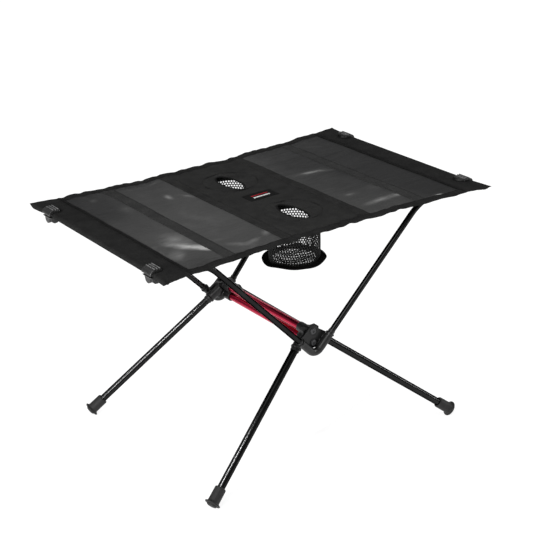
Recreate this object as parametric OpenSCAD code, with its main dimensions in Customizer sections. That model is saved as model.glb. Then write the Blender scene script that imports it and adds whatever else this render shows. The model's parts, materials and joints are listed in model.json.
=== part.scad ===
// Folding camp kitchen table: two moulded hubs on a pair of cross tubes carry four legs and
// four bent arms, and a fabric top with stiffening rods clips onto the ends of the arms.
// X runs along the table, Y from front (-) to back (+), Z up. The origin is the floor point
// under the middle of the top.

/* [Table top] */
// Length of the top, tip to tip
top_length = 600; // [560:1:640]
// Width of the top across its corner tips
top_width = 410; // [396:1:430]
// How far the long edges curve in between the corner tips
edge_dip = 17; // [8:1:20]
// Height of the top surface above the floor
top_height = 391; // [388:1:400]
// Thickness of the fabric
fabric_t = 1; // [0.8:0.1:1.4]
// Thickness of the sewn-on trims
trim_t = 0.5; // [0.4:0.1:0.8]
// Width of the end sleeve, from the tips to its seam
sleeve_w = 47; // [42:1:52]
// Half width of the centre panel
centre_half = 80; // [74:1:90]
// Width of the folded hem along the long edges
hem_w = 11; // [8:1:14]
// Width of the cross band in each coated panel
band_w = 20; // [14:1:26]
// Length of the woven label in the middle of the top
label_l = 64; // [40:1:70]
// Width of the woven label
label_w = 28; // [16:1:34]
// Width of the stitched border strip beside the centre panel
border_w = 15; // [10:1:16]

/* [Cup holders] */
// Distance of each cup hole from the middle of the table
cup_y = 86; // [82:1:92]
// Radius of the hole in the fabric
cup_hole_r = 30; // [26:1:34]
// Depth of the net bag
bag_depth = 77; // [60:1:90]
// Radius of the bag where it is sewn to the top
bag_top_r = 44; // [40:1:46]
// Radius of the bag at its base
bag_base_r = 40; // [36:1:42]
// Radius of the net disc inside the bound rim
bag_net_r = 35.5; // [30:0.5:36]
// Radius of the bound rim around the base
bag_rim_r = 49; // [46:1:52]

/* [Frame] */
// Radius of the leg tubes
leg_r = 6; // [5.5:0.1:6.5]
// Radius of the arm tubes
arm_r = 4.7; // [4.4:0.1:5]
// Wall of the leg and arm tubes
tube_wall = 0.9; // [0.7:0.1:1.2]
// Radius of the cross tubes
cross_r = 6.2; // [5.8:0.1:6.4]
// Height of the lower cross tube
cross_z = 182.1; // [180:0.5:184]
// Distance between the two cross tubes
cross_pitch = 15.5; // [15:0.1:16.5]
// Radius of the rods in the end sleeves
rod_r = 3; // [2.6:0.1:3.2]
// Radius of the bend in each arm
bend_r = 75; // [50:5:90]

/* [Feet] */
// Radius of the foot cap
foot_r = 8.9; // [8.5:0.1:9.6]
// Radius of the thin rim at the bottom of the foot
foot_rim_r = 12.6; // [12.4:0.1:13.2]
// Length of the foot along the leg
foot_len = 31; // [26:1:36]

/* [Hidden] */
$fn = 64;
gap = 0.05;
over = 0.5;

// End fabric, rods and clips
half_l = top_length / 2;
half_w = top_width / 2;
seam_x = half_l - sleeve_w;
rod_x = half_l - 9;
rod_z = top_height - 4;
rod_half = half_w - 8;
clip_y = 151.5;
loop_r = rod_r + 0.3;
notch_half = 15;
notch_depth = 23;
sheet_z = top_height - trim_t - fabric_t;

// Points of the front-right quarter, with Y measured outwards from the middle
leg_mouth = [29, 123.4, 178];
leg_end = [235, 187, 9.2];
arm_z = rod_z - 7;
arm_mouth = [29, 137, 193];
arm_knee = [204, clip_y, arm_z];
arm_tip = [rod_x - 9, clip_y, arm_z];
leg_d = unit(leg_end - leg_mouth);
arm_d = unit(arm_knee - arm_mouth);

// Plugs that seat the tubes in the hubs
leg_plug_r = 4.9;
arm_plug_r = 3.7;
plug_len = 12;
socket_depth = 14.5;
cord_r = 1.3;
cord_out = 60;
leg_collar_r = 7.2;
arm_collar_r = 5.4;
collar_len = 5;
stem_len = 12;

// Hubs
collar_in = 96.5;
tube_end = 112;
collar_r = 8.2;
web_in = 125;
web_out = 129.5;
leg_socket_r = 7.8;
leg_socket_len = 27;
leg_side = 128.9;
limb_r = 6.3;
bend_u = 13;
lip_r = 8.8;
screw_zs = [cross_z, cross_z + 19];
screw_r = 2;
head_r = 5.3;

// Clips
jaw_r = 7.6;
jaw_in = 11;
jaw_top = 6.6;
clip_half = 12;
rib_xs = [-10, -5.8, -1.6];
rib_w = 1.7;
rib_top = 8.6;
belly_half = 11;
belly_r = 7;
barrel_r = 7.3;
barrel_in = 20;
barrel_out = 5.5;

CORNERS = ["front_left", "front_right", "back_left", "back_right"];

function unit(v) = v / norm(v);
// Half width of the top at a distance x from its middle
function edge_y(x) = half_w - edge_dip * (1 - pow(abs(x) / half_l, 2.4));

// Puts children, drawn up Z, at point p and along direction d
module aim(p, d) {
    translate(p) rotate([0, acos(d[2]), atan2(d[1], d[0])]) children();
}

// A quarter drawn at +X and +Y, moved to a named corner
module at_corner(c) {
    left = c == "front_left" || c == "back_left";
    front = c == "front_left" || c == "front_right";
    mirror([left ? 1 : 0, 0, 0]) mirror([0, front ? 1 : 0, 0]) children();
}

// An end drawn at +Y, moved to the front or back
module at_end(front) {
    mirror([0, front ? 1 : 0, 0]) children();
}

// A side drawn at +X, moved to the left or right
module at_side(left) {
    mirror([left ? 1 : 0, 0, 0]) children();
}

// Cylinder along Y from y0 to y1
module y_cyl(x, z, y0, y1, r) {
    translate([x, y1, z]) rotate([90, 0, 0]) cylinder(h = y1 - y0, r = r);
}

// ---------- frame ----------

// Bullet-nosed plug: it fits its socket at the mouth and narrows towards the tip, so that it
// can swing as it draws out
module plug_nose(r) {
    steps = 6;
    rotate_extrude() polygon([
        [cord_r + 0.3, over], [r - 0.08, over],
        for (i = [0:steps]) let (u = plug_len * i / steps) [r - 0.08 - 0.011 * u * u, -u],
        [cord_r + 0.3, -plug_len]
    ]);
}

module leg_tube() {
    run = norm(leg_end - leg_mouth);
    color([0.1, 0.1, 0.1]) difference() {
        aim(leg_mouth + leg_d * collar_len, leg_d) cylinder(h = run - collar_len - 4, r = leg_r);
        aim(leg_mouth + leg_d * (collar_len - over), leg_d) cylinder(h = run, r = leg_r - tube_wall);
    }
}

// Plug in the end of a tube: a nose that seats in the hub, a collar, and a stem inside the tube
module tube_plug(mouth, d, nose_r, ring_r, tube_r) {
    color([0.16, 0.16, 0.16]) aim(mouth, d) union() {
        plug_nose(nose_r);
        difference() {
            union() {
                translate([0, 0, gap]) cylinder(h = collar_len - 2 * gap, r = ring_r);
                translate([0, 0, gap]) cylinder(h = collar_len + stem_len, r = tube_r - tube_wall - gap);
            }
            translate([0, 0, -over]) cylinder(h = collar_len + stem_len + 2, r = cord_r + 0.3);
        }
    }
}

module cord(mouth, d) {
    color([0.08, 0.08, 0.08]) aim(mouth - d * (plug_len - 1), d)
        cylinder(h = plug_len + cord_out, r = cord_r, $fn = 24);
}

// Rubber cap: a straight body, a thin rim that meets the floor, and a low boss past the rim
module foot() {
    boss = 3.6;
    top = boss - foot_len;
    floor_half = 60;
    color([0.06, 0.06, 0.06]) intersection() {
        aim(leg_end, leg_d) difference() {
            rotate_extrude() polygon([
                [0, boss], [6.4, boss - 0.1], [7.9, boss - 1.1], [8.3, 0.7],
                [foot_rim_r - 0.5, 0.5], [foot_rim_r, -0.3], [foot_rim_r - 0.2, -1.5],
                [foot_r + 1, -2.3], [foot_r + 0.2, -4.5],
                [foot_r, top + 1.2], [foot_r - 0.9, top], [0, top]
            ]);
            translate([0, 0, top - over]) cylinder(h = foot_len - boss - 3, r = leg_r + gap);
        }
        translate([leg_end[0] - floor_half, leg_end[1] - floor_half, 0])
            cube([2 * floor_half, 2 * floor_half, 80]);
    }
}

// One arm: a straight tube up from the hub, a bend, and a level run out to the clip. The bend
// runs a little way into each straight and is drawn down slightly, as a bent tube is.
module arm_tube() {
    out = [1, 0, 0];
    drawn = 0.03;
    lap = 0.6;
    turn = acos(arm_d * out);
    back = bend_r * tan(turn / 2);
    foot = arm_mouth + arm_d * collar_len;
    bend_start = arm_knee - arm_d * back;
    bend_end = arm_knee + out * back;
    centre = arm_knee + unit(out - arm_d) * bend_r / cos(turn / 2);
    across = (bend_start - centre) / bend_r;
    side = cross(across, arm_d);
    color([0.1, 0.1, 0.1]) union() {
        aim(foot, arm_d) linear_extrude(norm(bend_start - foot)) tube_section(0);
        multmatrix([
            [across[0], arm_d[0], side[0], centre[0]],
            [across[1], arm_d[1], side[1], centre[1]],
            [across[2], arm_d[2], side[2], centre[2]],
            [0, 0, 0, 1]
        ]) rotate([0, 0, -lap]) rotate_extrude(angle = turn + 2 * lap)
            translate([bend_r, 0]) tube_section(drawn);
        aim(bend_end, out) linear_extrude(arm_tip[0] - bend_end[0]) tube_section(0);
    }
}

module tube_section(drawn) {
    difference() {
        circle(r = arm_r - drawn);
        circle(r = arm_r - tube_wall - drawn);
    }
}

// Clip: a C-shaped jaw that snaps over the end rod, on a barrel that holds the tip of the arm
module clip() {
    half = clip_half + over;
    rib_z = jaw_top - 1.6;
    color([0.13, 0.13, 0.13]) difference() {
        union() {
            y_cyl(rod_x, rod_z, clip_y - clip_half, clip_y + clip_half, jaw_r);
            translate([rod_x - jaw_in, clip_y - clip_half, arm_z])
                cube([jaw_in, 2 * clip_half, rod_z + jaw_top - arm_z]);
            for (dx = rib_xs) translate([rod_x + dx, clip_y - clip_half, rod_z + rib_z])
                cube([rib_w, 2 * clip_half, rib_top - rib_z]);
            y_cyl(rod_x - 3, arm_z, clip_y - belly_half, clip_y + belly_half, belly_r);
            aim([rod_x - barrel_in, clip_y, arm_z], [1, 0, 0]) cylinder(h = barrel_in + barrel_out, r = barrel_r);
        }
        y_cyl(rod_x, rod_z, clip_y - half, clip_y + half, rod_r + 0.12);
        aim([rod_x - barrel_in - over, clip_y, arm_z], [1, 0, 0])
            cylinder(h = arm_tip[0] - rod_x + barrel_in + over + gap, r = arm_r + gap);
        translate([rod_x, clip_y - half, rod_z - 3.4]) cube([20, 2 * half, 3.4]);
    }
}

// Outline, in X and Z, of the plate that the two halves of a hub meet on
module web_outline() {
    polygon([
        [-26.6, 192.5], [-14, 201], [-5, 209], [5, 209], [14, 201], [26.6, 192.5],
        [22, 189.5], [13, 186], [9, 172.5], [-9, 172.5], [-13, 186], [-22, 189.5]
    ]);
}

module web(y0, y1) {
    translate([0, y1, 0]) rotate([90, 0, 0]) linear_extrude(y1 - y0) web_outline();
}

// Inner half of a hub: collars around both cross tubes and a socket for each leg
module hub() {
    color([0.14, 0.14, 0.14]) difference() {
        union() {
            for (i = [0, 1]) y_cyl(0, cross_z + i * cross_pitch, collar_in, web_in, collar_r);
            translate([-15, tube_end + 1, cross_z - 6]) cube([30, web_in - tube_end - 1, cross_pitch + 13]);
            for (s = [0, 1]) mirror([s, 0, 0]) {
                aim(leg_mouth - leg_d * leg_socket_len, leg_d) cylinder(h = leg_socket_len, r = leg_socket_r);
                aim(leg_mouth - leg_d * 3, leg_d) cylinder(h = 3, r = lip_r);
            }
        }
        for (i = [0, 1]) y_cyl(0, cross_z + i * cross_pitch, collar_in - over, tube_end, cross_r + gap);
        for (z = screw_zs) y_cyl(0, z, tube_end + 1, web_in + over, screw_r + gap);
        for (s = [0, 1]) mirror([s, 0, 0])
            aim(leg_mouth - leg_d * socket_depth, leg_d) cylinder(h = socket_depth + 1, r = leg_plug_r);
        web(web_in, web_in + 20);
        translate([-40, leg_side, 140]) cube([80, 20, 90]);
    }
}

// Outer half of a hub: a rounded V with a socket for each arm, and a plate that carries the screws
module yoke() {
    rise = arm_d[2] / arm_d[0];
    v_z = arm_mouth[2] - rise * arm_mouth[0];
    lean = atan(rise);
    centre_z = v_z + bend_u / cos(lean);
    side_x = bend_u * sin(lean);
    limb = (arm_mouth[0] - side_x) / arm_d[0];
    limb_y = arm_mouth[1] - arm_d[1] * limb;
    lap = 3;
    color([0.15, 0.15, 0.15]) difference() {
        union() {
            translate([0, limb_y, centre_z]) rotate([90, 0, 0]) rotate([0, 0, -90 - lean - lap])
                rotate_extrude(angle = 2 * lean + 2 * lap) translate([bend_u, 0]) circle(r = limb_r - 0.1);
            for (s = [0, 1]) mirror([s, 0, 0]) {
                aim(arm_mouth - arm_d * limb, arm_d) cylinder(h = limb, r = limb_r);
                aim(arm_mouth - arm_d * 3, arm_d) cylinder(h = 3, r = limb_r + 0.8);
                translate([side_x, limb_y, centre_z - bend_u * cos(lean)]) rotate([90, -lean, 0])
                    translate([0, -4.4, 0]) linear_extrude(limb_y - leg_side) square([limb - 8, 8.8]);
            }
            web(web_in, web_out);
            for (z = screw_zs) y_cyl(0, z, web_out - 1, web_out + 0.6, head_r + 0.9);
        }
        for (z = screw_zs) y_cyl(0, z, web_in - over, web_out + 2, screw_r + gap);
        for (s = [0, 1]) mirror([s, 0, 0])
            aim(arm_mouth - arm_d * socket_depth, arm_d) cylinder(h = socket_depth + 1, r = arm_plug_r);
    }
}

module cross_tube(z) {
    end = tube_end - gap;
    color([0.6, 0.03, 0.08]) difference() {
        y_cyl(0, z, -end, end, cross_r);
        y_cyl(0, z, -end - over, end + over, cross_r - 1.2);
    }
}

module hub_screw(z) {
    base = web_out + 0.6;
    difference() {
        union() {
            y_cyl(0, z, tube_end + 2, base + 0.5, screw_r);
            translate([0, base, z]) rotate([-90, 0, 0]) rotate_extrude() polygon([
                [0, 0], [head_r, 0], [head_r, 1], [head_r - 0.9, 1.9], [0, 2.2]
            ]);
        }
        translate([0, base + 0.8, z]) rotate([-90, 0, 0]) cylinder(h = 3, r = 1.9, $fn = 6);
    }
}

module hub_screws() {
    color([0.25, 0.25, 0.26]) for (z = screw_zs, front = [true, false]) at_end(front) hub_screw(z);
}

// ---------- fabric top ----------

// Outline of the top between two distances from its middle, inset from the long edges
module top_outline(x0, x1, inset) {
    steps = 8;
    xs = [for (i = [0:steps]) x0 + (x1 - x0) * i / steps];
    polygon(concat([for (x = xs) [x, edge_y(x) - inset]],
        [for (i = [steps:-1:0]) [xs[i], inset - edge_y(xs[i])]]));
}

module sheet(x0, x1, inset, z, t) {
    translate([0, 0, z]) linear_extrude(t) top_outline(x0, x1, inset);
}

module end_rod() {
    color([0.3, 0.3, 0.31]) y_cyl(rod_x, rod_z, -rod_half, rod_half, rod_r);
}

// Points around the rod at radius r, from just past its top to well past its underside
function loop_arc(r) = [for (i = [0:12]) let (a = 87 - 193 * i / 12) [rod_x + r * cos(a), rod_z + r * sin(a)]];

// Fabric loop around the end rod: one sheet at the seam, opening into a loop at the rod
module end_sleeve() {
    mid_z = sheet_z + fabric_t / 2;
    color([0.12, 0.12, 0.12]) difference() {
        translate([0, half_w - 5, 0]) rotate([90, 0, 0]) linear_extrude(2 * half_w - 10) difference() {
            polygon(concat([[seam_x, mid_z + fabric_t / 2]], loop_arc(loop_r + fabric_t),
                [[seam_x, mid_z - fabric_t / 2]]));
            polygon(concat([[seam_x + 9, mid_z - 0.6]], loop_arc(loop_r)));
        }
        for (s = [-1, 1]) {
            translate([half_l - notch_depth, s * clip_y - notch_half, rod_z - 20])
                cube([notch_depth + 10, 2 * notch_half, 40]);
            translate([seam_x + 2, s * clip_y - notch_half, sheet_z - 20.7])
                cube([sleeve_w, 2 * notch_half, 20]);
        }
    }
}

module coated_panel() {
    color([0.2, 0.2, 0.2]) sheet(centre_half, seam_x, 0, sheet_z, fabric_t);
}

module centre_panel() {
    color([0.1, 0.1, 0.1]) difference() {
        sheet(-centre_half, centre_half, 0, sheet_z, fabric_t);
        for (s = [-1, 1]) translate([0, s * cup_y, sheet_z - over])
            cylinder(h = fabric_t + 2 * over, r = cup_hole_r);
    }
}

module hem() {
    color([0.08, 0.08, 0.08]) translate([0, 0, sheet_z + fabric_t]) intersection() {
        linear_extrude(trim_t) difference() {
            top_outline(-seam_x, seam_x, 0);
            top_outline(-seam_x - 1, seam_x + 1, hem_w);
        }
        translate([-half_l, 0, -1]) cube([2 * half_l, half_w, 3]);
    }
}

module cross_band() {
    mid = (centre_half + seam_x) / 2 + 9;
    color([0.07, 0.07, 0.07]) sheet(mid - band_w / 2, mid + band_w / 2, hem_w, sheet_z + fabric_t, trim_t);
}

module border_strip() {
    color([0.07, 0.07, 0.07]) sheet(centre_half - border_w, centre_half, hem_w, sheet_z + fabric_t, trim_t);
}

module label() {
    color([0.5, 0.06, 0.08]) translate([0, 0, sheet_z + fabric_t + trim_t / 2])
        cube([label_l, label_w, trim_t], center = true);
}

module cup_bag() {
    top = sheet_z;
    base = top - bag_depth;
    wall = 1;
    color([0.15, 0.15, 0.15]) translate([0, cup_y, 0]) rotate_extrude() polygon([
        [0, base], [bag_base_r, base], [bag_top_r, top], [bag_top_r - wall, top],
        [bag_base_r - wall, base + wall], [0, base + wall]
    ]);
}

module bag_rim() {
    base = sheet_z - bag_depth;
    color([0.07, 0.07, 0.07]) translate([0, cup_y, 0]) rotate_extrude() polygon([
        [bag_net_r, base], [bag_rim_r, base], [bag_rim_r, base - 2], [bag_net_r, base - 2]
    ]);
}

// ---------- nodes ----------

for (c = CORNERS) {
    at_corner(c) leg_tube();
    at_corner(c) tube_plug(leg_mouth, leg_d, leg_plug_r, leg_collar_r, leg_r);
    at_corner(c) cord(leg_mouth, leg_d);
    at_corner(c) foot();
    at_corner(c) arm_tube();
    at_corner(c) tube_plug(arm_mouth, arm_d, arm_plug_r, arm_collar_r, arm_r);
    at_corner(c) cord(arm_mouth, arm_d);
    at_corner(c) clip();
}
at_end(true) hub();  // hub_front
at_end(false) hub();  // hub_back
at_end(true) yoke();  // yoke_front
at_end(false) yoke();  // yoke_back
cross_tube(cross_z + cross_pitch);  // cross_tube_upper
cross_tube(cross_z);  // cross_tube_lower
hub_screws();
at_side(true) end_rod();  // end_rod_left
at_side(false) end_rod();  // end_rod_right
at_side(true) end_sleeve();  // end_sleeve_left
at_side(false) end_sleeve();  // end_sleeve_right
at_side(true) coated_panel();  // coated_panel_left
at_side(false) coated_panel();  // coated_panel_right
centre_panel();
at_end(true) hem();  // hem_front
at_end(false) hem();  // hem_back
at_side(true) cross_band();  // cross_band_left
at_side(false) cross_band();  // cross_band_right
at_side(true) border_strip();  // border_strip_left
at_side(false) border_strip();  // border_strip_right
label();
at_end(true) cup_bag();  // cup_bag_front
at_end(false) cup_bag();  // cup_bag_back
at_end(true) bag_rim();  // bag_rim_front
at_end(false) bag_rim();  // bag_rim_back
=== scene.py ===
# Looks of the folding camp table, in metres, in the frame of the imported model.
import json
import math

import bmesh
import bpy
from mathutils import Matrix, Vector, noise

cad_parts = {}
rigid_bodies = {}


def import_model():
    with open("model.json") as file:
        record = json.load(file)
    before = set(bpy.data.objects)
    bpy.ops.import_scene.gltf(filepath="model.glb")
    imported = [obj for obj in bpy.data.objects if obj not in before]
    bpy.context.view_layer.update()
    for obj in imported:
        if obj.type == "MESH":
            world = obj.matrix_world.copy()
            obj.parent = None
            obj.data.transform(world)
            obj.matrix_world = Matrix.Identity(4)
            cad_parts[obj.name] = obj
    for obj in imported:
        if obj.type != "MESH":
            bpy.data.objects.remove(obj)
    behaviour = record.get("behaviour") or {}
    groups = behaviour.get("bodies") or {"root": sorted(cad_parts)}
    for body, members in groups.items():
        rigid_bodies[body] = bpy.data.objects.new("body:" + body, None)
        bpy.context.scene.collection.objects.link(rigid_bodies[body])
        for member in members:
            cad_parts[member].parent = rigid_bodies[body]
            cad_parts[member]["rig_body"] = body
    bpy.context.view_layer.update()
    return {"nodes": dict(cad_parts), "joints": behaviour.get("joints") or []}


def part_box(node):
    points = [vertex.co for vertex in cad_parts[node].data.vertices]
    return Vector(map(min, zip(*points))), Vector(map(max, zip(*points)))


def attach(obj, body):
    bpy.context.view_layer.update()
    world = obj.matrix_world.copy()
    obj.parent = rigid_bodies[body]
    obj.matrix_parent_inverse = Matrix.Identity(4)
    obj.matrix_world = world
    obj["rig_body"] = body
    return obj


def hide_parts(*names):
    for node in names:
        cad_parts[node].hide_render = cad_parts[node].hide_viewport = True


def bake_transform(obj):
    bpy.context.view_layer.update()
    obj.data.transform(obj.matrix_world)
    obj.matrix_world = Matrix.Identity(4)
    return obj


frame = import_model()
MM = 0.001

# ---------- places read from the frame ----------

def low(node):
    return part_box(node)[0]


def high(node):
    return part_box(node)[1]


SHEET_Z = high("centre_panel")[2]
SEAM_X = high("coated_panel_right")[0]
CENTRE_X = high("centre_panel")[0]
TIP_X = high("end_rod_right")[0] + 5.5 * MM
TIP_Y = high("end_sleeve_right")[1] + 4.5 * MM
MID_Y = high("centre_panel")[1] - 0.7 * MM
ROD_X = (low("end_rod_right")[0] + high("end_rod_right")[0]) / 2
ROD_Z = (low("end_rod_right")[2] + high("end_rod_right")[2]) / 2
ROD_R = (high("end_rod_right")[0] - low("end_rod_right")[0]) / 2
ROD_END = high("end_rod_right")[1]
CLIP_Y = (low("clip_back_right")[1] + high("clip_back_right")[1]) / 2
HEM_W = 16 * MM
BAND = (low("cross_band_right")[0], high("cross_band_right")[0])
BORDER = (low("border_strip_right")[0], high("border_strip_right")[0])
LABEL_L = high("label")[0] - 5 * MM
LABEL_W = high("label")[1] + 1 * MM
BAG_Y = (low("cup_bag_back")[1] + high("cup_bag_back")[1]) / 2
BAG_TOP_R = high("cup_bag_back")[0]
BAG_BASE_Z = low("cup_bag_back")[2]
BAG_BASE_R = BAG_TOP_R - 4 * MM
RIM_R = high("bag_rim_back")[0]
NET_R = RIM_R - 13.5 * MM
HOLE_SHORT = 15.5 * MM
HOLE_LONG = 37 * MM


# ---------- small maths ----------

def smooth(a, b, x):
    t = min(1.0, max(0.0, (x - a) / (b - a)))
    return t * t * (3 - 2 * t)


def lerp(a, b, t):
    return a + (b - a) * t


def steps(a, b, n):
    return [a + (b - a) * i / n for i in range(n + 1)]


def wave_noise(x, y, seed):
    return noise.noise(Vector((x, y, seed * 7.31)))


# ---------- meshes ----------

def make(name, verts, faces, material, body="top"):
    """A smooth-shaded piece that rides on a body, or on none when no body is given."""
    mesh = bpy.data.meshes.new(name)
    mesh.from_pydata([tuple(v) for v in verts], [], faces)
    mesh.validate()
    obj = bpy.data.objects.new(name, mesh)
    bpy.context.scene.collection.objects.link(obj)
    for face in mesh.polygons:
        face.use_smooth = True
    mesh.materials.append(material)
    if body:
        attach(obj, body)
    return obj


def tidy(obj, merge=0.0):
    """Joins points closer than merge and turns every face outwards."""
    bm = bmesh.new()
    bm.from_mesh(obj.data)
    if merge:
        bmesh.ops.remove_doubles(bm, verts=bm.verts, dist=merge)
    bmesh.ops.recalc_face_normals(bm, faces=bm.faces)
    bm.to_mesh(obj.data)
    bm.free()


def bake(obj):
    """Replaces the object's mesh by the result of its modifiers."""
    deps = bpy.context.evaluated_depsgraph_get()
    mesh = bpy.data.meshes.new_from_object(obj.evaluated_get(deps))
    obj.modifiers.clear()
    obj.data = mesh


def thicken(obj, depth, offset=-1.0):
    """Gives a sheet its thickness: below it at offset -1, above it at 1, on both sides at 0."""
    mod = obj.modifiers.new("thick", "SOLIDIFY")
    mod.thickness = depth
    mod.offset = offset
    mod.use_even_offset = False
    bake(obj)


def grid_faces(rows, cols, base=0, loop_rows=False, loop_cols=False):
    faces = []
    for i in range(rows if loop_rows else rows - 1):
        for j in range(cols if loop_cols else cols - 1):
            a = base + i * cols + j
            b = base + i * cols + (j + 1) % cols
            c = base + ((i + 1) % rows) * cols + (j + 1) % cols
            d = base + ((i + 1) % rows) * cols + j
            faces.append((a, b, c, d))
    return faces


def tube_along(name, points, radius, material, sides=8, closed=False, flat=1.0, body="top"):
    """A tube through the points; flat squeezes its height."""
    up = Vector((0, 0, 1))
    verts = []
    n = len(points)
    for i, p in enumerate(points):
        before = points[(i - 1) % n] if closed or i else p
        after = points[(i + 1) % n] if closed or i < n - 1 else p
        along = (after - before).normalized()
        side = along.cross(up).normalized()
        rise = side.cross(along).normalized()
        for k in range(sides):
            a = 2 * math.pi * k / sides
            verts.append(p + side * (radius * math.cos(a)) + rise * (radius * flat * math.sin(a)))
    faces = grid_faces(n, sides, loop_rows=closed, loop_cols=True)
    if not closed:
        faces.append(tuple(range(sides)))
        faces.append(tuple(reversed(range((n - 1) * sides, n * sides))))
    obj = make(name, verts, faces, material, body)
    tidy(obj)
    return obj


# ---------- materials ----------

class Nodes:
    """Short calls for building one material's nodes."""

    def __init__(self, name, colour, rough, metal=0.0):
        self.mat = bpy.data.materials.new(name)
        self.mat.use_nodes = True
        self.tree = self.mat.node_tree
        self.bsdf = self.tree.nodes["Principled BSDF"]
        self.set("Base Color", (*colour, 1))
        self.set("Roughness", rough)
        self.set("Metallic", metal)
        self.coords = self.tree.nodes.new("ShaderNodeTexCoord").outputs["Object"]

    def set(self, name, value):
        self.bsdf.inputs[name].default_value = value

    def link(self, out, name):
        self.tree.links.new(out, self.bsdf.inputs[name])

    def join(self, out, node, index):
        self.tree.links.new(out, node.inputs[index])

    def scaled(self, scale, turn=(0, 0, 0)):
        node = self.tree.nodes.new("ShaderNodeMapping")
        node.inputs["Scale"].default_value = scale
        node.inputs["Rotation"].default_value = turn
        self.join(self.coords, node, "Vector")
        return node.outputs["Vector"]

    def blob(self, centre, radii, turn, power=1.5):
        """A soft oval patch, 1 at its centre and 0 at its edge, at a place on the top."""
        node = self.tree.nodes.new("ShaderNodeMapping")
        node.vector_type = "TEXTURE"
        node.inputs["Location"].default_value = (*centre, SHEET_Z)
        node.inputs["Rotation"].default_value = (0, 0, math.radians(turn))
        node.inputs["Scale"].default_value = (*radii, 0.05)
        self.join(self.coords, node, "Vector")
        ball = self.tree.nodes.new("ShaderNodeTexGradient")
        ball.gradient_type = "SPHERICAL"
        self.join(node.outputs["Vector"], ball, "Vector")
        return self.math("POWER", ball.outputs["Fac"], power)

    def noise(self, scale, detail=3, rough=0.5, where=None, distort=0.0):
        node = self.tree.nodes.new("ShaderNodeTexNoise")
        node.inputs["Scale"].default_value = scale
        node.inputs["Detail"].default_value = detail
        node.inputs["Roughness"].default_value = rough
        node.inputs["Distortion"].default_value = distort
        self.join(where or self.coords, node, "Vector")
        return node.outputs["Fac"]

    def math(self, kind, a, b=0.0, c=0.0):
        node = self.tree.nodes.new("ShaderNodeMath")
        node.operation = kind
        for i, value in enumerate((a, b, c)):
            if isinstance(value, (int, float)):
                node.inputs[i].default_value = value
            else:
                self.join(value, node, i)
        return node.outputs[0]

    def axis(self, name):
        node = self.tree.nodes.new("ShaderNodeSeparateXYZ")
        self.join(self.coords, node, 0)
        return node.outputs[name]

    def ramp(self, value, stops):
        node = self.tree.nodes.new("ShaderNodeValToRGB")
        ramp = node.color_ramp
        while len(ramp.elements) < len(stops):
            ramp.elements.new(0.5)
        for element, (at, colour) in zip(ramp.elements, stops):
            element.position = at
            element.color = (*colour, 1) if len(colour) == 3 else colour
        self.join(value, node, 0)
        return node.outputs["Color"]

    def range(self, value, lo, hi):
        node = self.tree.nodes.new("ShaderNodeMapRange")
        node.inputs["To Min"].default_value = lo
        node.inputs["To Max"].default_value = hi
        self.join(value, node, "Value")
        return node.outputs["Result"]

    def bump(self, height, strength, distance, normal=None):
        node = self.tree.nodes.new("ShaderNodeBump")
        node.inputs["Strength"].default_value = strength
        node.inputs["Distance"].default_value = distance
        self.join(height, node, "Height")
        if normal:
            self.join(normal, node, "Normal")
        self.link(node.outputs["Normal"], "Normal")
        return node.outputs["Normal"]

    def rounded(self, radius):
        """Softens the sharp edges of a hard part in the shading only."""
        node = self.tree.nodes.new("ShaderNodeBevel")
        node.samples = 6
        node.inputs["Radius"].default_value = radius
        self.link(node.outputs["Normal"], "Normal")
        return node.outputs["Normal"]

    def weave(self, pitch):
        """Height of a plain weave with threads along X and Y."""
        k = math.pi / pitch
        x = self.math("MULTIPLY", self.axis("X"), k)
        y = self.math("MULTIPLY", self.axis("Y"), k)
        sx = self.math("SINE", x)
        sy = self.math("SINE", y)
        over = self.math("MULTIPLY", sx, sy)
        warp = self.math("ABSOLUTE", sx)
        weft = self.math("ABSOLUTE", sy)
        lift = self.math("MULTIPLY_ADD", over, 0.5, 0.5)
        a = self.math("MULTIPLY", warp, lift)
        b = self.math("MULTIPLY", weft, self.math("SUBTRACT", 1.0, lift))
        return self.math("ADD", a, b)


def tones(n, value, dark, light):
    n.link(n.ramp(value, [(0.3, dark), (0.7, light)]), "Base Color")


def woven_cloth(name, dark, light, pitch, rough=0.85):
    n = Nodes(name, dark, rough)
    tones(n, n.noise(45, 4, 0.6), dark, light)
    n.set("Specular IOR Level", 0.04)
    creases = n.bump(n.noise(34, 5, 0.6, n.scaled((0.8, 2.2, 1), (0, 0, 0.5)), distort=0.5), 0.6, 0.0022)
    n.bump(n.weave(pitch), 0.5, 0.0003, creases)
    return n.mat


# Painted highlights, lighter base colour where the coating would catch the light: x, y, half length, half
# width, turn and strength
PAINTED_HIGHLIGHTS = (
    (-203, -110, 48, 15, -51, 0.5), (-188, -128, 26, 13, -65, 0.6), (-203, -76, 56, 40, 90, 0.16),
    (-231, -132, 30, 18, 70, 0.12), (-217, 149, 17, 13, 60, 0.45), (-195, 82, 22, 17, 80, 0.25),
    (-116, 87, 21, 11, 85, 0.4), (-90, 75, 28, 10, -60, 0.2), (-97, 161, 20, 8, 20, 0.3),
    (-140, 155, 44, 8, -8, 0.12), (-142, -146, 30, 12, -40, 0.14), (-118, -150, 24, 10, 20, 0.14),
    (-85, -135, 20, 12, 50, 0.16), (125, 38, 54, 14, -5, 0.42), (150, 29, 34, 10, -25, 0.22),
    (109, -86, 26, 15, 0, 0.18), (159, -86, 20, 17, 0, 0.14), (131, -137, 56, 16, 4, 0.24),
    (163, -137, 21, 18, 90, 0.2), (212, -180, 18, 8, 0, 0.8), (210, 138, 40, 7, -38, 0.35),
    (234, -130, 20, 12, 0, 0.14),
)
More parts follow.
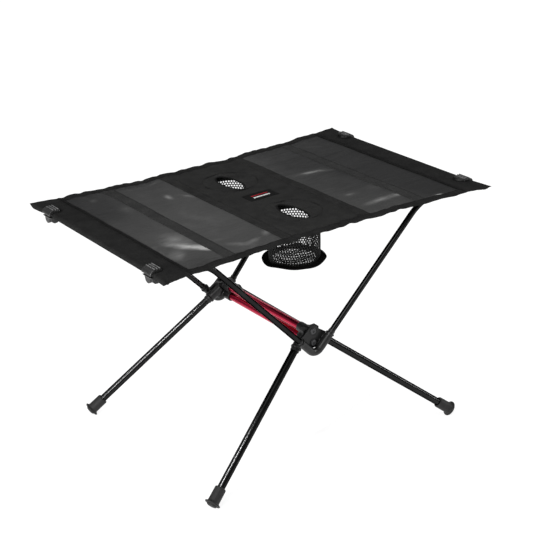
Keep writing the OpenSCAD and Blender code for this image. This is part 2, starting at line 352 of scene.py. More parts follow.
# Broad patches of painted shade, darker base colour, in the same form
PAINTED_SHADE = (
    (225, 0, 420, 90, 90, -0.45), (-235, 140, 200, 90, 90, -0.42), (-130, 180, 120, 110, 0, -0.2),
    (-225, -180, 90, 60, 0, -0.2), (130, 100, 260, 90, 90, -0.2),
)


def patches(n, table, total=0.0):
    """The summed strength of soft oval patches."""
    for x, y, half_l, half_w, turn, strength in table:
        patch = n.blob((x * MM, y * MM), (half_l * MM, half_w * MM), turn)
        total = n.math("MULTIPLY_ADD", patch, strength, total)
    return total


def coated_cloth():
    """Smooth coated fabric: dark grey and half glossy, with fine creases; its base colour holds painted
    highlights in soft patches, painted shade in broad patches and a painted falloff of light towards the
    right and back.
    """
    n = Nodes("coated_cloth", (0.02, 0.02, 0.02), 0.45)
    wisps = n.range(n.noise(30, 5, 0.6, n.scaled((1, 2.2, 1)), distort=0.8), 0.0, 1.9)
    # Painted highlights: lighter base colour in the listed patches, broken up by noise.
    painted_shine = n.math("MULTIPLY", patches(n, PAINTED_HIGHLIGHTS), wisps)
    # Painted falloff of light: the base colour gets darker towards +X and towards +Y.
    along = n.math("MULTIPLY_ADD", n.axis("X"), -0.2, 0.12)
    across = n.math("MULTIPLY_ADD", n.axis("Y"), -0.25, along)
    # Random cloudy tone, plus painted shade in the broad patches and the painted falloff of light.
    cloud_and_painted_shade = n.math("MULTIPLY_ADD", n.noise(11, 4, 0.6, distort=0.4), 0.25, patches(n, PAINTED_SHADE, across))
    tone = n.math("ADD", painted_shine, cloud_and_painted_shade)
    n.link(n.ramp(tone, [(0.05, COAT_DARK), (0.3, COAT_LIGHT), (0.8, COAT_PAINTED_HIGHLIGHT)]), "Base Color")
    n.link(n.range(n.noise(26, 5, 0.65), 0.36, 0.52), "Roughness")
    n.set("Specular IOR Level", 0.08)
    broad = n.bump(n.noise(22, 3, 0.5, n.scaled((0.6, 1.5, 1)), distort=0.6), 0.5, 0.004)
    fine = n.bump(n.noise(110, 5, 0.65, n.scaled((0.7, 2, 1)), distort=0.8), 0.5, 0.0008, broad)
    n.bump(n.weave(0.0009), 0.22, 0.0002, fine)
    return n.mat


def net_cloth():
    n = Nodes("net_cloth", (0.012, 0.012, 0.012), 0.8)
    n.bump(n.noise(900, 2, 0.5), 0.4, 0.0003)
    tones(n, n.noise(80, 3), (0.008, 0.008, 0.008), (0.018, 0.018, 0.018))
    n.set("Specular IOR Level", 0.15)
    return n.mat


def anodised(name, dark, light, rough, stretch, strength=0.1, rim=1.0):
    """Drawn and anodised tube: faint lines along its length, and a rim that may be darker."""
    n = Nodes(name, dark, rough, 1.0)
    n.set("Specular Tint", (rim, rim, rim, 1))
    tones(n, n.noise(30, 3, 0.6), dark, light)
    n.link(n.range(n.noise(90, 4, 0.6), rough - 0.06, rough + 0.09), "Roughness")
    n.bump(n.noise(700, 2, 0.5, n.scaled(stretch)), strength, 0.0002)
    return n.mat


def moulded(name, dark, light, rough, grain, edge, painted_edge_shading=0.0):
    """Moulded plastic or rubber: fine grain, softened edges, slight colour drift, and where asked a painted
    highlight on its sharp edges and painted shade in its deep corners.
    """
    n = Nodes(name, dark, rough)
    n.set("Specular IOR Level", 0.3)
    drift = n.noise(60, 4, 0.6)
    if painted_edge_shading:
        # Painted highlight on sharp edges and painted shade in deep corners, added to the colour drift.
        corners = n.tree.nodes.new("ShaderNodeNewGeometry")
        sharp = n.math("SUBTRACT", corners.outputs["Pointiness"], 0.5)
        drift = n.math("MULTIPLY_ADD", sharp, painted_edge_shading, drift)
        n.link(n.ramp(drift, [(0.0, PAINTED_CORNER_SHADE), (0.3, dark), (0.7, light), (1.0, PAINTED_EDGE_HIGHLIGHT)]), "Base Color")
    else:
        tones(n, drift, dark, light)
    n.link(n.range(n.noise(150, 4, 0.6), rough - 0.08, rough + 0.08), "Roughness")
    n.bump(n.noise(grain, 3, 0.6), 0.25, 0.00025, n.rounded(edge))
    return n.mat


# Coated cloth tones: dark, light, and the colour of its painted highlights.
COAT_DARK = (0.018, 0.018, 0.0182)
COAT_LIGHT = (0.043, 0.043, 0.0425)
COAT_PAINTED_HIGHLIGHT = (0.36, 0.36, 0.355)
# Colours of the painted shade in a moulding's deep corners and of the painted highlight on its sharp edges
PAINTED_CORNER_SHADE = (0.002, 0.002, 0.002)
PAINTED_EDGE_HIGHLIGHT = (0.12, 0.12, 0.12)

WOVEN = woven_cloth("woven_cloth", (0.0112, 0.0112, 0.0112), (0.0175, 0.0175, 0.0172), 0.0008)
CENTRE = woven_cloth("centre_weave", (0.0165, 0.0165, 0.0163), (0.0250, 0.0250, 0.0245), 0.0008)
BANDS = woven_cloth("band_cloth", (0.0260, 0.0260, 0.0260), (0.0360, 0.0360, 0.0355), 0.0007)
TAPE = woven_cloth("tape", (0.006, 0.006, 0.006), (0.010, 0.010, 0.010), 0.0006, 0.8)
THREAD = woven_cloth("thread", (0.012, 0.012, 0.012), (0.020, 0.020, 0.020), 0.0003, 0.6)
COATED = coated_cloth()
NET = net_cloth()
BLACK_TUBE = anodised("black_anodised", (0.018, 0.018, 0.0182), (0.026, 0.026, 0.0262), 0.16,
                      (1, 1, 1), 0.04, 0.15)
RED_TUBE = anodised("red_anodised", (0.42, 0.012, 0.045), (0.56, 0.025, 0.07), 0.22, (1, 0.04, 1), 0.06)
ROD_METAL = anodised("rod_metal", (0.06, 0.06, 0.062), (0.10, 0.10, 0.10), 0.35, (1, 0.04, 1))
NYLON = moulded("black_nylon", (0.006, 0.006, 0.0062), (0.011, 0.011, 0.011), 0.36, 1400, 0.0004)
# Clip moulding, with a painted highlight on its sharp edges and painted shade in its deep corners.
CLIP_NYLON = moulded("clip_nylon", (0.010, 0.010, 0.0102), (0.020, 0.020, 0.020), 0.32, 1400, 0.0004, 6.0)
# Clip ridges: a lighter colour that stands for a painted highlight along each ridge.
RIDGE_PAINTED_HIGHLIGHT = moulded("ridge_painted_highlight", (0.05, 0.05, 0.05), (0.16, 0.16, 0.16), 0.25, 1400, 0.0003)
RUBBER = moulded("foot_rubber", (0.008, 0.008, 0.008), (0.014, 0.014, 0.014), 0.6, 900, 0.0006)
STEEL = moulded("black_steel", (0.03, 0.03, 0.032), (0.05, 0.05, 0.052), 0.3, 1400, 0.0004)
MARK_RED = woven_cloth("mark_red", (0.32, 0.01, 0.02), (0.42, 0.02, 0.03), 0.0005, 0.7)
MARK_PALE = woven_cloth("mark_pale", (0.55, 0.55, 0.54), (0.7, 0.7, 0.69), 0.0005, 0.7)


# ---------- shape of the stretched top ----------

HOLE_DISH = 2.6 * MM
DISH_R = BAG_TOP_R + 3 * MM


def hole_measure(x, y):
    """0 at the middle of the nearer cup hole, 1 on its edge."""
    return math.hypot(x / HOLE_SHORT, (abs(y) - BAG_Y) / HOLE_LONG)


def edge_y(x, side):
    """Half width of the top at x, with the small scallops of its hem."""
    reach = min(1.0, abs(x) / TIP_X)
    y = TIP_Y - (TIP_Y - MID_Y) * (1 - reach ** 2.4)
    y += 2.0 * MM * wave_noise(x * 80, side * 3, 1)
    y += 2.0 * MM * wave_noise(x * 24, side * 5, 2)
    return y


def sheet_z(x, y):
    """Height of the upper face of the fabric."""
    side = 1 if y > 0 else -1
    edge = abs(y) / edge_y(x, side)
    loose = smooth(0.72, 1.0, edge) * smooth(TIP_X, TIP_X - 70 * MM, abs(x))
    z = SHEET_Z - 1.2 * MM * (1 - (x / TIP_X) ** 2)
    z += loose * 1.8 * MM * wave_noise(x * 24, side * 2.2, 3)
    z += loose * 2.0 * MM * wave_noise(x * 80, side * 2.2, 4)
    z += 1.0 * MM * wave_noise(x * 9, y * 14, 5)
    z += 0.4 * MM * wave_noise(x * 22, y * 75, 6)
    m = hole_measure(x, y)
    around = math.hypot(x, abs(y) - BAG_Y)
    z -= HOLE_DISH * math.exp(-max(0.0, m - 1) * 2.2) * smooth(DISH_R * 1.25, DISH_R * 0.75, around)
    turn = math.atan2(abs(y) - BAG_Y, x)
    folds = 0.7 * MM * math.sin(5 * turn + side) + 0.4 * MM * math.sin(9 * turn + 2 * side)
    z += folds * smooth(DISH_R * 1.15, DISH_R * 0.8, around) * smooth(0.9, 1.2, m)
    return z


def on_sheet(x, v, lift=0.0):
    """A point on the top; v runs from -1 at the front edge to 1 at the back edge."""
    side = 1 if v > 0 else -1
    y = v * edge_y(x, side)
    return Vector((x, y, sheet_z(x, y) + lift))


def at_y(x, y, lift=0.0):
    return Vector((x, y, sheet_z(x, y) + lift))


CLOTH_T = 0.8 * MM
CELL = 2.5 * MM


def sheet_panel(name, x0, x1, material):
    """One panel of the top between two seams, out to both long edges."""
    nx = round(abs(x1 - x0) / CELL)
    ny = round(2 * TIP_Y / CELL)
    xs = steps(x0, x1, nx)
    reach = 1 - 2 * MM / MID_Y
    tuck = 1 - HEM_W / MID_Y
    vs = steps(-reach, reach, ny)
    verts = [on_sheet(x, v, -0.5 * MM * smooth(tuck, tuck + 0.02, abs(v))) for x in xs for v in vs]
    faces = grid_faces(nx + 1, ny + 1)
    obj = make(name, verts, faces, material)
    return obj


def coated_panels():
    for side, tag in ((-1, "left"), (1, "right")):
        panel = sheet_panel(f"coated_cloth_{tag}", side * CENTRE_X, side * SEAM_X, COATED)
        tidy(panel)
        face_up(panel)
        thicken(panel, CLOTH_T)
        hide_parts(f"coated_panel_{tag}")


def face_up(obj):
    """Turns an open sheet so that its faces point up."""
    total = sum(f.normal.z * f.area for f in obj.data.polygons)
    if total < 0:
        bm = bmesh.new()
        bm.from_mesh(obj.data)
        bmesh.ops.reverse_faces(bm, faces=bm.faces)
        bm.to_mesh(obj.data)
        bm.free()


def centre_cloth():
    panel = sheet_panel("centre_cloth", -CENTRE_X, CENTRE_X, CENTRE)
    bm = bmesh.new()
    bm.from_mesh(panel.data)
    inside = [f for f in bm.faces if hole_measure(*f.calc_center_median()[:2]) < 1]
    bmesh.ops.delete(bm, geom=inside, context="FACES")
    bmesh.ops.delete(bm, geom=[v for v in bm.verts if not v.link_faces], context="VERTS")
    for v in bm.verts:
        m = hole_measure(v.co.x, v.co.y)
        if v.is_boundary and m < 1.5:
            side = 1 if v.co.y > 0 else -1
            v.co.x /= m
            v.co.y = side * (BAG_Y + (abs(v.co.y) - BAG_Y) / m)
            v.co.z = sheet_z(v.co.x, v.co.y)
    bm.to_mesh(panel.data)
    bm.free()
    face_up(panel)
    thicken(panel, CLOTH_T)
    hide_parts("centre_panel")


def hole_bindings():
    for side, tag in ((-1, "front"), (1, "back")):
        ring = []
        for k in range(72):
            a = 2 * math.pi * k / 72
            x = (HOLE_SHORT - 0.4 * MM) * math.cos(a)
            y = side * BAG_Y + (HOLE_LONG - 0.4 * MM) * math.sin(a)
            ring.append(at_y(x, y, -0.3 * MM))
        tube_along(f"hole_binding_{tag}", ring, 1.5 * MM, TAPE, 10, True, 0.8)


def strip(name, x0, x1, v0, v1, lift, material, columns=8):
    """A tape sewn onto the sheet, with its two long edges turned down."""
    rows = round(abs(v1 - v0) * TIP_Y / CELL)
    verts = []
    for v in steps(v0, v1, rows):
        for i, x in enumerate(steps(x0, x1, columns)):
            at_edge = i in (0, columns)
            rise = 0.05 * MM if at_edge else lift * (1 + 0.25 * wave_noise(x * 90, v * 30, 8))
            verts.append(on_sheet(x, v, rise))
    obj = make(name, verts, grid_faces(rows + 1, columns + 1), material)
    face_up(obj)
    thicken(obj, 0.3 * MM, 1.0)
    return obj


def trims():
    hem_v = 1 - (HEM_W - 1 * MM) / MID_Y
    for side, tag in ((-1, "left"), (1, "right")):
        band = strip(f"cross_band_cloth_{tag}", side * BAND[0], side * BAND[1],
                     -hem_v, hem_v, 0.35 * MM, BANDS)
        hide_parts(f"cross_band_{tag}")
        border = strip(f"border_cloth_{tag}", side * BORDER[0], side * (BORDER[1] + 1.5 * MM),
                       -hem_v, hem_v, 0.5 * MM, CENTRE)
        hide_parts(f"border_strip_{tag}")
        strip(f"seam_welt_{tag}", side * (SEAM_X - 4 * MM), side * (SEAM_X + 1 * MM),
              -0.985, 0.985, 0.9 * MM, TAPE, 5)


def hems():
    """Folded hem that wraps each long edge of the top."""
    around = 14
    for side, tag in ((-1, "front"), (1, "back")):
        xs = steps(-SEAM_X, SEAM_X, round(2 * SEAM_X / (CELL * 0.8)))
        verts = []
        for x in xs:
            y1 = edge_y(x, side)
            puff = 1.3 * MM * (1 + 0.35 * wave_noise(x * 120, side, 9))
            for k in range(around):
                a = 2 * math.pi * k / around
                c = math.copysign(abs(math.cos(a)) ** 0.6, math.cos(a))
                s = math.copysign(abs(math.sin(a)) ** 0.75, math.sin(a))
                y = y1 - HEM_W / 2 + (HEM_W / 2 + 0.6 * MM) * c
                z = sheet_z(x, side * min(y, y1)) - CLOTH_T / 2 + puff * s
                verts.append(Vector((x, side * y, z)))
        n = len(xs)
        faces = grid_faces(n, around, loop_cols=True)
        faces += [tuple(range(around)), tuple(reversed(range((n - 1) * around, n * around)))]
        hem = make(f"hem_cloth_{tag}", verts, faces, WOVEN)
        tidy(hem)
        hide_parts(f"hem_{tag}")


# ---------- end sleeves ----------

LOOP_R = ROD_R + 1.2 * MM
TIP_Z = SHEET_Z - 0.5 * MM
NOTCH_HALF = 14 * MM
NOTCH_TOP = 21 * MM
NOTCH_UNDER = 38 * MM
FLARE_FROM = 150 * MM


def sleeve_rows():
    """Positions across the table, closer together at the sides of the clip cut-outs."""
    plain = steps(0, CLIP_Y - NOTCH_HALF, round((CLIP_Y - NOTCH_HALF) / CELL))[:-1]
    notch = [CLIP_Y + NOTCH_HALF * math.sin(a) for a in steps(-math.pi / 2, math.pi / 2, 24)]
    tip = steps(CLIP_Y + NOTCH_HALF, TIP_Y, 14)[1:]
    half = plain + notch + tip
    return [-y for y in reversed(half[1:])] + half


def notch_reach(y, depth):
    """How far the cut-out reaches in from the outer fold at y, or 0 outside it."""
    u = abs(abs(y) - CLIP_Y) / NOTCH_HALF
    return depth * (1 - u ** 3.2) ** (1 / 3.2) if u < 1 else 0.0


def sleeve_point(t, y, side, under):
    """A point of the sleeve: t runs from the seam to the outer fold, or to the cut-out's edge."""
    flare = smooth(FLARE_FROM, TIP_Y, abs(y)) * (TIP_X - ROD_X - LOOP_R)
    centre = ROD_X + flare
    past_rod = smooth(ROD_END - 1 * MM, TIP_Y, abs(y))
    rz = lerp(LOOP_R, 0.9 * MM, past_rod)
    rod_z = lerp(ROD_Z, TIP_Z, past_rod)
    flat = centre - SEAM_X
    arc = LOOP_R * math.pi / 2
    reach = notch_reach(y, NOTCH_UNDER if under else NOTCH_TOP)
    end = flat + arc
    if reach > LOOP_R:
        end = flat + LOOP_R - reach
    elif reach > 0:
        end = flat + LOOP_R * math.asin(1 - reach / LOOP_R)
    s = t * end
    sign = -1 if under else 1
    v = y / TIP_Y
    if s < flat:
        x = SEAM_X + s
        u = s / flat
        start = on_sheet(side * SEAM_X, v).z - (1.0 * MM if under else 0)
        z = lerp(start, rod_z + sign * rz, u)
        fade = math.sin(math.pi * u) ** 0.6
        z += fade * sign * 0.9 * MM * wave_noise(x * 20 + y * 14, y * 60, 11 + side)
        z += fade * 1.3 * MM * wave_noise(x * 14, y * 22, 12 + side)
        z -= fade * sign * 0.6 * MM
    else:
        a = (s - flat) / LOOP_R
        x = centre + LOOP_R * math.sin(a)
        z = rod_z + sign * rz * math.cos(a)
    edge = edge_y(x, 1 if y > 0 else -1)
    x += 0.25 * MM * wave_noise(y * 60, 1, 13 + side) * smooth(0.7, 1, t)
    return Vector((side * x, v * edge, z))


def end_sleeves():
    rows = sleeve_rows()
    columns = 26
    for side, tag in ((-1, "left"), (1, "right")):
        verts, faces = [], []
        for under in (False, True):
            base = len(verts)
            verts += [sleeve_point(t, y, side, under) for y in rows for t in steps(0, 1, columns)]
            faces += grid_faces(len(rows), columns + 1, base)
        obj = make(f"end_sleeve_cloth_{tag}", verts, faces, WOVEN)
        tidy(obj, merge=0.02 * MM)
        outward(obj)
        thicken(obj, CLOTH_T)
        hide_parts(f"end_sleeve_{tag}")
        for end, place in ((-1, "front"), (1, "back")):
            loop = notch_edge(rows, side, end)
            tube_along(f"notch_binding_{place}_{tag}", loop, 1.3 * MM, TAPE, 8, True)


def notch_edge(rows, side, end):
    """The closed edge of one clip cut-out, along the upper cloth and back along the lower."""
    inside = [y for y in rows if y * end > 0 and abs(abs(y) - CLIP_Y) < NOTCH_HALF * 0.9999]
    inside = sorted(inside)
    upper = [sleeve_point(1, y, side, False) for y in inside]
    lower = [sleeve_point(1, y, side, True) for y in reversed(inside)]
    path = upper + lower
    return respaced(path, 1.6 * MM)


def respaced(path, pitch):
    """The closed path again, with its points evenly spaced."""
    lengths = [0.0]
    n = len(path)
    for i in range(n):
        lengths.append(lengths[-1] + (path[(i + 1) % n] - path[i]).length)
    count = max(8, round(lengths[-1] / pitch))
    out, i = [], 0
    for k in range(count):
        want = lengths[-1] * k / count
        while lengths[i + 1] < want:
            i += 1
        span = lengths[i + 1] - lengths[i]
        out.append(path[i].lerp(path[(i + 1) % n], (want - lengths[i]) / span if span else 0))
    return out


def outward(obj):
    """Turns the sleeve's faces away from its rod."""
    total = 0
    for f in obj.data.polygons:
        away = f.center - Vector((math.copysign(ROD_X - 15 * MM, f.center.x), f.center.y, ROD_Z + 2 * MM))
        total += f.normal.dot(away.normalized()) * f.area
    if total < 0:
        bm = bmesh.new()
        bm.from_mesh(obj.data)
        bmesh.ops.reverse_faces(bm, faces=bm.faces)
        bm.to_mesh(obj.data)
        bm.free()


# ---------- stitching ----------

# One thread: place along it from 0 to 1, rise in mm, half width in mm
STITCH_SHAPE = (
    (0, -0.1, 0.16), (0.2, 0.26, 0.28), (0.5, 0.36, 0.3), (0.8, 0.26, 0.28), (1, -0.1, 0.16),
)


def stitch_line(name, path, closed=False, pitch=4.2 * MM, body="top"):
    """A row of short raised threads along a path of points on the cloth."""
    n = len(path)
    verts, faces = [], []
    lengths = [0.0]
    last = n if closed else n - 1
    for k in range(last):
        lengths.append(lengths[-1] + (path[(k + 1) % n] - path[k]).length)
    count = int(lengths[-1] / pitch)

    def place(d):
        lo, hi = 0, last
        while hi - lo > 1:
            mid = (lo + hi) // 2
            if lengths[mid] <= d:
                lo = mid
            else:
                hi = mid
        span = lengths[lo + 1] - lengths[lo]
        return path[lo].lerp(path[(lo + 1) % n], (d - lengths[lo]) / span if span else 0)

    half = 0.36 * pitch
    for c in range(count):
        d = (c + 0.5) * lengths[-1] / count
        a, b = place(d - half), place(d + half)
        along = (b - a).normalized()
        side = along.cross(Vector((0, 0, 1))).normalized()
        base = len(verts)
        for u, rise, wide in STITCH_SHAPE:
            p = a.lerp(b, u)
            for dx, dz in ((-1, 0), (0, 1), (1, 0), (0, -1)):
                verts.append(p + side * (wide * MM * dx) + Vector((0, 0, (rise + 0.22 * dz) * MM)))
        faces += grid_faces(len(STITCH_SHAPE), 4, base, loop_cols=True)
        faces.append(tuple(base + k for k in range(4)))
        far_end = len(verts) - 4
        faces.append(tuple(far_end + k for k in reversed(range(4))))
    obj = make(name, verts, faces, THREAD, body)
    tidy(obj)
    return obj


def stitching():
    hem_v = 1 - (HEM_W - 2 * MM) / MID_Y
    fine = steps(-hem_v, hem_v, 150)
    for side, tag in ((-1, "left"), (1, "right")):
        lines = {
            "band_in": (BAND[0] + 1.6 * MM, 0.5), "band_out": (BAND[1] - 1.6 * MM, 0.5),
            "border_in": (BORDER[0] + 1.6 * MM, 0.65), "border_mid": (BORDER[0] + 8.5 * MM, 0.65),
            "border_out": (BORDER[1] - 0.6 * MM, 0.65), "seam": (SEAM_X - 4 * MM, 0.9),
            "seam_out": (SEAM_X + 4.2 * MM, 0.15),
        }
        for line, (x, lift) in lines.items():
            if line == "seam_out":
                path = [sleeve_point(0.1, v * TIP_Y, side, False) + Vector((0, 0, lift * MM)) for v in fine]
            else:
                path = [on_sheet(side * x, v, lift * MM) for v in fine]
            stitch_line(f"stitches_{line}_{tag}", path)
    for side, tag in ((-1, "front"), (1, "back")):
        path = []
        for x in steps(-SEAM_X, SEAM_X, 220):
            y = side * (edge_y(x, side) - HEM_W + 2.2 * MM)
            path.append(Vector((x, y, sheet_z(x, y) + 0.75 * MM)))
        stitch_line(f"stitches_hem_{tag}", path)
        ring = []
        r = BAG_TOP_R + 1.5 * MM
        for k in range(120):
            a = 2 * math.pi * k / 120
            ring.append(at_y(r * math.cos(a), side * BAG_Y + r * math.sin(a), 0.1 * MM))
        stitch_line(f"stitches_bag_{tag}", ring, True)


# ---------- net bags ----------

NET_PITCH = 4.55 * MM
NET_HOLE = 0.65
BAG_BAND = 14 * MM


def net_cells(centres, place, half_w, half_h):
    """Hexagonal cells with a round hole in each; place maps flat coordinates onto the surface."""
    verts, faces = [], []
    for cx, cy in centres:
        base = len(verts)
        for k in range(12):
            a = math.pi / 6 * k
            corner = k % 2 == 1
            r = 1 / math.cos(math.pi / 6) if corner else 1.0
            hx, hy = r * math.cos(a) * half_w, r * math.sin(a) * half_h
            verts.append(place(cx + hx, cy + hy))
            verts.append(place(cx + NET_HOLE * math.cos(a) * half_w, cy + NET_HOLE * math.sin(a) * half_h))
        for k in range(12):
            i, j = base + 2 * k, base + 2 * ((k + 1) % 12)
            faces.append((i, j, j + 1, i + 1))
    return verts, faces


def bag_radius(h, turn):
    """Radius of the bag at height h above its base; it narrows downwards and has soft folds."""
    depth = SHEET_Z - BAG_BASE_Z
    u = min(1.0, max(0.0, h / depth))
    r = lerp(BAG_BASE_R, BAG_TOP_R, u)
    r -= 0.7 * MM * math.sin(math.pi * u)
    folds = 0.7 * MM * math.sin(3 * turn + 4 * u) * math.sin(math.pi * u)
    gathers = 0.35 * MM * math.sin(7 * turn) * (1 - u)
    r += folds + gathers
    return r


def on_circle(r, a, cy, z):
    """The point at angle a on a level circle round a bag's axis."""
    return Vector((r * math.cos(a), cy + r * math.sin(a), z))


def net_bag(side, tag):
    around = 60
    depth = SHEET_Z - BAG_BASE_Z
    step = depth / 20.5
    cy = side * BAG_Y

    def on_wall(a, h):
        return on_circle(bag_radius(h, a + side), a, cy, BAG_BASE_Z + h)

    centres = []
    rows = int((depth - 3 * MM) / step)
    for j in range(rows + 1):
        for i in range(around):
            centres.append((2 * math.pi * (i + 0.5 * (j % 2)) / around, 1.5 * MM + j * step))
    half_w = math.pi / around
    verts, faces = net_cells(centres, on_wall, half_w, step * 2 / 3 * math.cos(math.pi / 6))
    wall = make(f"net_wall_{tag}", verts, faces, NET)
    tidy(wall, merge=0.25 * MM)
    thicken(wall, 0.5 * MM, 0.0)
    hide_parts(f"cup_bag_{tag}")

    def on_base(x, y):
        m = min(1.0, math.hypot(x, y) / NET_R)
        return Vector((x, cy + y, BAG_BASE_Z - 1.2 * MM * (1 - m * m) + 0.2 * MM))

    disc = []
    row = NET_PITCH * math.sqrt(3) / 2
    span = int(NET_R / row) + 1
    for j in range(-span, span + 1):
        for i in range(-span, span + 1):
            x, y = NET_PITCH * (i + 0.5 * (j % 2)), row * j
            if math.hypot(x, y) < NET_R + 1 * MM:
                disc.append((x, y))
    verts, faces = net_cells(disc, on_base, NET_PITCH / 2, NET_PITCH / 2)
    base = make(f"net_base_{tag}", verts, faces, NET)
    tidy(base, merge=0.1 * MM)
    thicken(base, 0.5 * MM, 0.0)


def bag_trim(side, tag):
    cy = side * BAG_Y

    def wave(a, r):
        u = (r - NET_R) / (RIM_R - NET_R)
        droop = 0.9 * MM * math.sin(4 * a + side) + 0.6 * MM * math.sin(7 * a + 2)
        return u * droop + 0.3 * MM * wave_noise(r * 80, a * 3, 21 + side)

    def on_rim(a, r):
        return on_circle(r, a, cy, BAG_BASE_Z - 0.5 * MM + wave(a, r))

    turns, columns = 96, 8
    verts = []
    for i in range(turns):
        a = 2 * math.pi * i / turns
        for r in steps(NET_R - 1.5 * MM, RIM_R, columns):
            verts.append(on_rim(a, r))
    faces = grid_faces(turns, columns + 1, loop_rows=True)
    ring = make(f"bag_rim_cloth_{tag}", verts, faces, TAPE)
    tidy(ring)
    face_up(ring)
    thicken(ring, 1.2 * MM, 0.0)
    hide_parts(f"bag_rim_{tag}")
    edge = [on_rim(2 * math.pi * i / turns, RIM_R) for i in range(turns)]
    tube_along(f"bag_rim_binding_{tag}", edge, 1.4 * MM, TAPE, 8, True, 0.85)

    depth = SHEET_Z - BAG_BASE_Z
    verts = []
    for i in range(turns):
        a = 2 * math.pi * i / turns
        for h in steps(depth - BAG_BAND, depth - 1.5 * MM, 4):
            verts.append(on_circle(bag_radius(h, a + side) + 0.5 * MM, a, cy, BAG_BASE_Z + h))
    band = make(f"bag_band_{tag}", verts, grid_faces(turns, 5, loop_rows=True), TAPE)
    tidy(band)
    thicken(band, 0.9 * MM, 0.0)


# ---------- label ----------

def patch(name, half_x, half_y, x0, y0, lift, depth, material, edge=1.2 * MM):
    """A small sewn patch that follows the cloth, with rounded edges."""
    nx, ny = max(6, round(half_x / MM)), max(6, round(half_y / MM))
    verts = []
    for i in range(nx + 1):
        for j in range(ny + 1):
            x, y = lerp(-half_x, half_x, i / nx), lerp(-half_y, half_y, j / ny)
            near = min(half_x - abs(x), half_y - abs(y))
            fall = (1 - smooth(0, edge, near)) * (lift - 0.05 * MM)
            verts.append(at_y(x0 + x, y0 + y, lift - fall))
    obj = make(name, verts, grid_faces(nx + 1, ny + 1), material)
    face_up(obj)
    thicken(obj, depth)
    return obj


def label():
    cloth = patch("label_cloth", LABEL_L, LABEL_W, 0, 0, 0.7 * MM, 0.4 * MM, TAPE)
    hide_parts("label")
    patch("label_bar_pale", 17 * MM, 2.4 * MM, 0, -3.5 * MM, 0.85 * MM, 0.2 * MM, MARK_PALE, 0.3 * MM)
    patch("label_bar_red", 17 * MM, 1.3 * MM, 0, 3.5 * MM, 0.85 * MM, 0.2 * MM, MARK_RED, 0.3 * MM)
    edge = []
    inset = 1.8 * MM
    for x0, y0, x1, y1 in ((-1, -1, 1, -1), (1, -1, 1, 1), (1, 1, -1, 1), (-1, 1, -1, -1)):
        for t in steps(0, 1, 20)[:-1]:
            x = lerp(x0, x1, t) * (LABEL_L - inset)
            y = lerp(y0, y1, t) * (LABEL_W - inset)
            edge.append(at_y(x, y, 0.75 * MM))
    stitch_line("stitches_label", edge, True, 3 * MM)


# ---------- the frame's own parts ----------

CORD_R = 1.3 * MM
RIB_R = 0.95 * MM
RIB_PITCH = 4.2 * MM


def moulded_part(node, material, voxel=0.5 * MM, passes=5):
    """The same part with the soft edges and fillets of a moulding, made from the frame's own shape."""
    source = frame["nodes"][node]
    part = bpy.data.objects.new(f"{node}_moulded", source.data.copy())
    bpy.context.scene.collection.objects.link(part)
    remesh = part.modifiers.new("remesh", "REMESH")
    remesh.mode = "VOXEL"
    remesh.voxel_size = voxel
    soften = part.modifiers.new("soften", "SMOOTH")
    soften.factor = 0.5
    soften.iterations = passes
    bake(part)
    part.data.materials.clear()
    part.data.materials.append(material)
    for face in part.data.polygons:
        face.use_smooth = True
    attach(part, source["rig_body"])
    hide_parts(node)


def mouldings():
    voxel = 0.5 * MM
    for end in ("front", "back"):
        moulded_part(f"hub_{end}", NYLON, voxel)
        moulded_part(f"yoke_{end}", NYLON, voxel)
        for side in ("left", "right"):
            moulded_part(f"clip_{end}_{side}", CLIP_NYLON, voxel, 2)
            moulded_part(f"foot_{end}_{side}", RUBBER, voxel, 3)


def cords():
    """Shock cords: a straight braided tube along each cord's draw axis, over the cord's length, on no body.
    """
    joints = {joint["name"]: joint for joint in frame["joints"]}
    for name, node in list(frame["nodes"].items()):
        if "_cord_" not in name:
            continue
        mouth = Vector(joints[name.replace("cord", "fold")]["pos_m"])
        along = Vector(joints[name.replace("cord", "draw")]["axis"])
        reach = [(v.co - mouth).dot(along) for v in node.data.vertices]
        points = [mouth + along * t for t in steps(min(reach), max(reach), 48)]
        cord = tube_along(f"{name}_braid", points, CORD_R, THREAD, 10, body=None)
        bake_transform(cord)
        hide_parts(name)


def clip_ribs():
    """Three grip ridges along the top of each clip, in a lighter colour that paints their highlight."""
    for end in ("front", "back"):
        for side, sign in (("left", -1), ("right", 1)):
            clip = f"clip_{end}_{side}"
            y0, y1 = low(clip)[1] + RIB_R, high(clip)[1] - RIB_R
            z = high(clip)[2] - RIB_R * 0.4
            for i in range(3):
                x = sign * (ROD_X - 9.1 * MM + i * RIB_PITCH)
                points = [Vector((x, y, z)) for y in steps(y0, y1, 6)]
                name = f"clip_rib_{end}_{side}_{i + 1}"
                tube_along(name, points, RIB_R, RIDGE_PAINTED_HIGHLIGHT, 10, body=f"arm_{end}_{side}")


def finish_frame():
    """Materials for the nodes that come from the frame as they are."""
    looks = (
        ("hub_screws", STEEL), ("hub", NYLON), ("yoke", NYLON), ("cross_tube", RED_TUBE),
        ("leg_plug", NYLON), ("leg_cord", THREAD), ("leg", BLACK_TUBE), ("foot", RUBBER),
        ("arm_plug", NYLON), ("arm_cord", THREAD), ("arm", BLACK_TUBE), ("clip", NYLON),
        ("end_rod", ROD_METAL),
    )
    for name, obj in frame["nodes"].items():
        for prefix, material in looks:
            if name.startswith(prefix):
                obj.data.materials.clear()
                obj.data.materials.append(material)
                break


# ---------- studio ----------

FLOOR_HALF = 6
LIT_POINT = (0, 0, 0.25)
CAMERA_AT = (-1.1652, -1.7192, 1.1435)
# Yaw, pitch and roll in degrees, and the focal length in mm on a 36 mm sensor
CAMERA_TURN = (34.27, 22.86, -2.19)
CAMERA_LENS = 94.97


